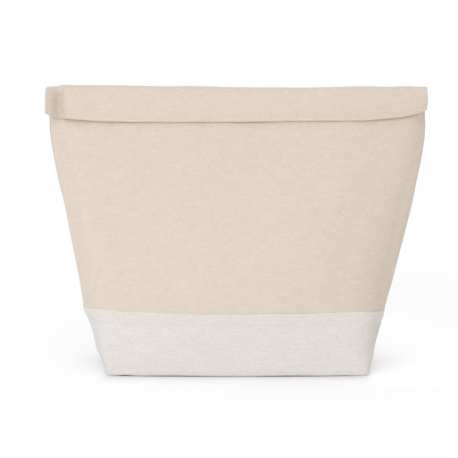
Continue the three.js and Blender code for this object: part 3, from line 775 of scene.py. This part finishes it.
# painted shade: a warm brown rim along the flap's lower edge, and an even grey in the hollow at the flap's left end and
# over the flap's right part
painted_shade_and_tint = 0.8 * smooth(1.1, 0.3, to_edge) * smooth(160, 146, np.abs(x0)) - over * (0.62 * smooth(-146, -154.5, x0) + 0.22 * bump(x0, -158.6, 2.6) + 0.18 * smooth(60, 130, x0))
back_cloth = slab("back_cloth", p + n_in * t_out[..., None], p + n_in * t_in[..., None], cloth, w, tint_and_painted_shade=painted_shade_and_tint, material=natural)
share(back_cloth)
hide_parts("back_panel", "left_gusset", "right_gusset", "fold_canvas", "fold_foam", "fold_facing", "flap_outer", "flap_foam", "flap_facing")


def back_sheet(name, t_out, t_in, material, replaced):
    z = wall_rows(FACING_Z, [FACING_Z - 8, FACING_Z - 4, FACING_Z - 0.5])
    p, n, s, zz, near = wall(z, 1)
    k = room(z, s, near)
    m = smooth(222, 239, zz)
    flat = outline([TANGENT_Z], 1)[2]
    p[..., 0] = p[..., 0] * (1 - m) + flat * m
    p[..., 1] = p[..., 1] * (1 - m) + half_depth(zz) * m
    p, n, s, zz, near, k = [v[:, 4 : COLS - 4] for v in (p, n, s, zz, near, k)]  # it ends a little before the side seams
    cloth = np.stack([s, zz / COS, 0 * s + 3.0], -1)
    dip = seam_dip(near) + band_dip(zz)
    ob = slab(name, p + n * (dip + t_out(s, zz) * k)[..., None], p + n * (dip + t_in(s, zz) * k)[..., None], cloth, material=material)
    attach(ob, "bag")
    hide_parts(*replaced)
    return ob


back_foam = back_sheet("back_foam_sheet", lambda s, z: FOAM[0] + 0 * s, lambda s, z: FOAM[1] + 0 * s, padding, ("back_foam", "left_gusset_foam", "right_gusset_foam"))
back_film = back_sheet("back_film", lambda s, z: FILM[0] + 0 * s, lambda s, z: FILM[1] + 0.12 * crinkle(s + 400, z), silver, ("back_lining", "left_gusset_lining", "right_gusset_lining"))


# ---- base --------------------------------------------------------------------------------------------------
def ring(z, soft=0.0):
    """The whole outline at heights z, round from the left seam along the front and back again."""
    parts = []
    for sign in (-1, 1):
        x, y, s, near = outline(z, sign, soft)
        ox, oy = across(x, y, sign)
        # both halves share the seam's direction
        ox[:, 0], oy[:, 0], ox[:, -1], oy[:, -1] = -1, 0, 1, 0
        d = swell(s, np.asarray(z, float)[:, None], sign)
        part = [x + ox * d, y + oy * d, ox, oy, s, near, x, y]
        parts.append(part if sign < 0 else [v[:, ::-1] for v in part])
    return [np.concatenate([f[:, :-1], b[:, :-1]], 1) for f, b in zip(*parts)]


def lift_of(x, y):
    """The base's lower edge doesn't touch the ground all along the front."""
    up = 0.75 * bump(x, -97, 7) + 0.55 * bump(x, -52, 22) + 0.6 * bump(x, 46, 20) + 0.35 * bump(x, 92, 8)
    return up * smooth(30, 50, -y)


def allowance(z):
    """The seam's turned-down edges, which lie under the white cloth and show through as a low step."""
    return 0.33 * smooth(42.1, 43.2, z) * smooth(52.4, 50.6, z)


def foot_radius(r, s):
    """The fold round the foot is tighter at the front's two lower corners."""
    return r * (1 - 0.78 * bump(np.abs(s), 110, 14))


def base_surface(t, r, soft, rows=13, round_rows=7, floor_rows=9):
    top = BAND_Z - 0.03
    u = np.concatenate([[0, 0.28, 0.7, 1.4, 2.48, 4.1, 6.4, 8.6, 8.95, 9.3, 9.75], np.linspace(12.4, top - (t + r), rows)])
    z = top - u
    x, y, ox, oy, s, near, x0, y0 = ring(z, soft)
    dip = band_dip(z)[:, None] + seam_dip(near) * smooth(0, 8, z)[:, None] - allowance(z)[:, None]
    pts = [np.stack([x - ox * (t + dip), y - oy * (t + dip), np.broadcast_to(z[:, None], x.shape)], -1)]
    cloth = [np.stack([s, np.broadcast_to(z[:, None] / COS, x.shape), 0 * x + 4], -1)]
    x, y, ox, oy, s, near, x0, y0 = [v[-1] for v in (x, y, ox, oy, s, near, x0, y0)]
    rs = foot_radius(r, s)
    for a in np.linspace(0, math.pi / 2, round_rows)[1:]:
        d = t + rs * (1 - math.cos(a))
        pts.append(np.stack([x - ox * d, y - oy * d, t + rs * (1 - math.sin(a))], -1)[None])
        cloth.append(np.stack([s, 0 * s + (t + r) / COS - r * a, 0 * s + 4], -1)[None])
    foot = pts[-1][0]
    reach = BASE_HALF_D
    middle = np.stack([np.clip(x0, -112 + reach, 112 - reach), 0 * x0, 0 * x0 + t], -1)
    for f in np.array([0.03, 0.08, 0.16, 0.28, 0.42, 0.58, 0.78, 1.0]):
        q = foot * (1 - f) + middle * f
        pts.append(q[None])
        cloth.append(np.stack([s, -r - np.linalg.norm(q - foot, axis=-1), 0 * s + 4], -1)[None])
    pts, cloth = np.concatenate(pts), np.concatenate(cloth)
    pts[..., 2] += seam_rise(cloth[..., 0], pts[..., 2])
    pts[..., 2] += lift_of(pts[..., 0], pts[..., 1]) * smooth(14, 1, pts[..., 2] - t)
    return pts, cloth


def base_piece(name, t0, t1, r0, r1, soft, material, replaced, texture=None):
    outer, cloth = base_surface(t0, r0, soft)
    inner, _ = base_surface(t1, r1, soft)
    if texture is not None:
        inner = inner + texture(inner)
    # a warm tint where the seam allowance shows through the white cloth; painted shade: an even grey over the base's
    # right side, which is turned from the light
    painted_shade_and_tint = 0.15 * allowance(outer[..., 2] - seam_rise(cloth[..., 0], outer[..., 2])) / 0.33 - 0.6 * smooth(108, 138, cloth[..., 0])
    ob = slab(name, outer, inner, cloth, wrap=True, rims=(True, False), tint_and_painted_shade=painted_shade_and_tint, material=material)
    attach(ob, "bag")
    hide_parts(replaced)
    return ob


base_canvas = base_piece("base_canvas", 0, CANVAS, 1.5, 1.2, 0, white, "base_wrap")
base_foam = base_piece("base_foam_tray", FOAM[0], FOAM[1], 3.4, 3.0, 9, padding, "base_foam")
base_film = base_piece("base_film", FILM[0], FILM[1], 3.2, 3.0, 9, silver, "base_lining")

# ---- hook tape and loop tape -------------------------------------------------------------------------------


def strip(name, rho_flat, rho_field, material, node, front):
    """Tape with thin woven edges and a raised field."""
    sign = 1 if rho_field > rho_flat else -1
    xs = np.concatenate([[0, 0.35, 1.5, 1.9], np.linspace(4, 2 * TAPE_HALF_L - 4, 61), 2 * TAPE_HALF_L - np.array([1.9, 1.5, 0.35, 0])]) - TAPE_HALF_L
    rs = np.concatenate([[0, 0.3, 1.3, 1.7], np.linspace(3, TAPE_TO - TAPE_FROM - 3, 7), (TAPE_TO - TAPE_FROM) - np.array([1.7, 1.3, 0.3, 0])]) + TAPE_FROM
    x, r = np.meshgrid(xs, rs)
    inside = np.minimum(smooth(1.4, 1.95, TAPE_HALF_L - np.abs(x)), smooth(1.2, 1.75, np.minimum(r - TAPE_FROM, TAPE_TO - r)))
    depth = abs(rho_field - rho_flat)
    t = 0.4 + (depth - 0.4) * inside
    soft = np.minimum(smooth(-0.2, 0.35, TAPE_HALF_L - np.abs(x)), smooth(-0.2, 0.3, np.minimum(r - TAPE_FROM, TAPE_TO - r)))
    t = t * soft

    def at(rho):
        # the tape follows the cloth that it is sewn to
        z = AXIS_Z + rho * SIN - r * COS
        along = TANGENT_Z / COS + RHO * (math.pi - 2 * LEAN) + r
        rho = rho + (meet(x, z) if front else 0.35 * fold_waves(x, along * 0.6) - curve(PRESS, x) * smooth(1, 22, r))
        return np.stack([x, AXIS_Y - rho * COS - r * SIN, AXIS_Z + rho * SIN - r * COS], -1)

    cloth = np.stack([x, r, 0 * x + 7], -1)
    weight = front_share(x, AXIS_Z - r * COS) if front else None
    ob = slab(name, at(rho_flat + sign * t), at(rho_flat + 0 * x), cloth, weight, material=material)
    if front:
        share(ob)
    else:
        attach(ob, "flap")
    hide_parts(node)
    return ob


hook_tape = strip("hook_tape", HOOK_RHO[0], HOOK_RHO[0] + 0.6, hooks, "hook_strip", True)
loop_tape = strip("loop_tape", LOOP_RHO[1] + 0.15, LOOP_RHO[1] - 0.45, loops, "loop_strip", False)


# ---- tapes that bind the seams inside ----------------------------------------------------------------------
def folded_tape(name, root, into, side, half_t, width, length_along, node, tag):
    """A tape folded over a raw edge: a rounded plate that stands from root along into, (rows, 3) each."""
    u = [0, 0.25, 0.6, 1.2, 2.4, 4.0, 5.6, 6.8]
    rounded = half_t * (1 - np.cos(np.linspace(0, math.pi / 2, 6)))[::-1]
    u = np.concatenate([u, width - rounded])
    h = np.where(width - u < half_t, np.sqrt(np.maximum(0, half_t**2 - (half_t - (width - u)) ** 2)), half_t)
    h[0], h[1] = half_t * 0.75, half_t * 0.95
    p = root[:, None] + into[:, None] * u[None, :, None]
    # the free edge waves a little
    wave = 0.22 * np.sin(length_along / 17.0) + 0.12 * np.sin(length_along / 6.3 + 1)
    p = p + side[:, None] * (wave[:, None] * (u[None] / width) ** 2)[..., None]
    off = side[:, None] * h[None, :, None]
    cloth = np.stack([np.broadcast_to(u[None], p.shape[:2]), np.broadcast_to(length_along[:, None], p.shape[:2]), 0 * p[..., 0] + tag], -1)
    ob = slab(name, p + off, p - off, cloth, material=binding, sharp=45)
    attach(ob, "bag")
    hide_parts(node)
    return ob


for sign, side_name, seam, face in ((-1, "left", LEFT_X, FACE_LEFT), (1, "right", RIGHT_X, FACE_RIGHT)):
    z = np.concatenate([[9, 9.6], np.arange(12, 229, 4.5), [230.4, 231]])
    sx, fx, d, y = curve(seam, z), curve(face, z), half_depth(z), seam_y(z)
    wdt = sx - fx
    up, low = np.arctan2(d - y, wdt), np.arctan2(d + y, wdt)
    half = np.minimum((up + low) / 2, 1.5)
    turn = (up - low) / 2  # the bisector leans to the front where the seam lies back
    into = np.stack([-sign * np.cos(turn), np.sin(turn), 0 * z], -1)
    sidew = np.stack([-into[:, 1], into[:, 0], 0 * z], -1)
    root = np.stack([sign * sx, y, z], -1) + into * (3.8 / np.sin(half) + 0.45 + 1.05 / np.tan(half))[:, None]
    folded_tape(side_name + "_side_tape", root, into, sidew, 0.62, 8.0, z, side_name + "_side_binding", 8)
    yy = np.concatenate([[-49, -48.4], np.linspace(-45, 45, 25), [48.4, 49]])
    root = np.stack([0 * yy + sign * 106.4, yy, 0 * yy + 4.95], -1)
    into = np.stack([0 * yy - sign, 0 * yy, 0 * yy], -1)
    up = np.stack([0 * yy, 0 * yy, 0 * yy + 1.0], -1)
    folded_tape(side_name + "_foot_tape", root, into, up, 0.62, 8.0, yy, side_name + "_corner_binding", 9)

# ---- floor, light and camera -------------------------------------------------------------------------------
floor_nodes = Nodes("studio_floor")
far_x, far_y, _ = floor_nodes.split(floor_nodes.cloth())
away = floor_nodes.math("SQRT", floor_nodes.math("ADD", floor_nodes.math("MULTIPLY", far_x, far_x), floor_nodes.math("MULTIPLY", far_y, far_y)))
# painted shade: the floor is painted a little darker near the bag, lightest from a metre away
paper = floor_nodes.mix(floor_nodes.range(away, 300, 1100), (0.955, 0.955, 0.955), (0.992, 0.992, 0.992))
# painted shadow: darker along the bag's front edge; painted light: lighter to its right, from a faint glow
painted_shadow_span = floor_nodes.math("MULTIPLY", floor_nodes.range(floor_nodes.math("ABSOLUTE", far_x), 122, 106), floor_nodes.range(far_y, 10, -40))
painted_contact_shadow = floor_nodes.math("MULTIPLY", floor_nodes.range(far_y, -78, -59), floor_nodes.math("MULTIPLY", painted_shadow_span, 0.12))
painted_soft_shadow = floor_nodes.math("MULTIPLY", floor_nodes.range(far_y, -97, -62), floor_nodes.math("MULTIPLY", painted_shadow_span, 0.08))
paper = floor_nodes.mix(floor_nodes.math("ADD", painted_contact_shadow, painted_soft_shadow), paper, (0.0, 0.0, 0.0))
floor_nodes.put(floor_nodes.bsdf.inputs["Base Color"], paper)
# painted light: the floor glows faintly, bluish, to the right of the bag, lifting the shade there
right = floor_nodes.math("MULTIPLY", floor_nodes.range(far_x, 98, 128), floor_nodes.range(far_x, 290, 130))
right = floor_nodes.math("MULTIPLY", right, floor_nodes.math("MULTIPLY", floor_nodes.range(far_y, 420, 120), floor_nodes.range(far_y, -130, -50)))
floor_nodes.bsdf.inputs["Emission Color"].default_value = (0.95, 1.04, 1.18, 1.0)
floor_nodes.put(floor_nodes.bsdf.inputs["Emission Strength"], floor_nodes.math("MULTIPLY", right, 0.090))
floor_nodes.bsdf.inputs["Roughness"].default_value = 1.0
floor_nodes.bsdf.inputs["Specular IOR Level"].default_value = 0.0
ys = [-3000, 1800] + [1800 + 900 * math.sin(a) for a in np.linspace(0, math.pi / 2, 12)[1:]] + [2700]
zs = [0, 0] + [900 - 900 * math.cos(a) for a in np.linspace(0, math.pi / 2, 12)[1:]] + [4000]
pts = [(x, y, z - 0.15) for y, z in zip(ys, zs) for x in (-4500, 4500)]
quads = [(2 * i, 2 * i + 1, 2 * i + 3, 2 * i + 2) for i in range(len(ys) - 1)]
floor = make("studio_floor", pts, quads, pts, material=floor_nodes.m)
for poly in floor.data.polygons:
    poly.use_smooth = True
floor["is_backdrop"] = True


def area_light(name, place, aim, size, watts, colour=(1, 1, 1)):
    d = bpy.data.lights.new(name, "AREA")
    d.shape = "RECTANGLE"
    d.size, d.size_y = size
    d.energy = watts
    d.color = colour
    o = bpy.data.objects.new(name, d)
    bpy.context.scene.collection.objects.link(o)
    o.location = place
    o.rotation_euler = (Vector(aim) - Vector(place)).to_track_quat("-Z", "Y").to_euler()
    return o


area_light("key", (-0.50, -1.30, 0.55), (0, 0, 0.12), (1.1, 0.9), 3.6)
area_light("top", (-0.1, -0.9, 1.7), (0, -0.1, 0), (1.2, 1.2), 1.6)

# An even white surrounding, a little cooler from the left and dimmer from the right.
world = bpy.data.worlds.new("studio")
bpy.context.scene.world = world
world.use_nodes = True
wt = world.node_tree
place = wt.nodes.new("ShaderNodeTexCoord")
part_x = wt.nodes.new("ShaderNodeSeparateXYZ")
wt.links.new(place.outputs["Generated"], part_x.inputs[0])
ramp = wt.nodes.new("ShaderNodeValToRGB")
spread = wt.nodes.new("ShaderNodeMapRange")
spread.inputs["From Min"].default_value = -1
wt.links.new(part_x.outputs[0], spread.inputs["Value"])
wt.links.new(spread.outputs[0], ramp.inputs[0])
ramp.color_ramp.elements[0].color = (1.01, 1.06, 1.16, 1)
ramp.color_ramp.elements[1].color = (0.78, 0.738, 0.705, 1)
middle = ramp.color_ramp.elements.new(0.5)
middle.color = (1.0, 1.0, 1.0, 1)
back = world.node_tree.nodes["Background"]
wt.links.new(ramp.outputs[0], back.inputs["Color"])
back.inputs["Strength"].default_value = 1.03

cam = bpy.data.cameras.new("camera")
cam.lens, cam.sensor_width = 114.76, 36
cam.clip_start, cam.clip_end = 0.05, 50
camera = bpy.data.objects.new("camera", cam)
bpy.context.scene.collection.objects.link(camera)
camera.location = (-0.0067, -1.3, 0.2573)
camera.rotation_euler = (math.radians(90 - 5.96), 0, 0)
bpy.context.scene.camera = camera
bpy.context.scene.view_settings.view_transform = "Standard"
bpy.context.scene.view_settings.look = "None"

low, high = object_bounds()
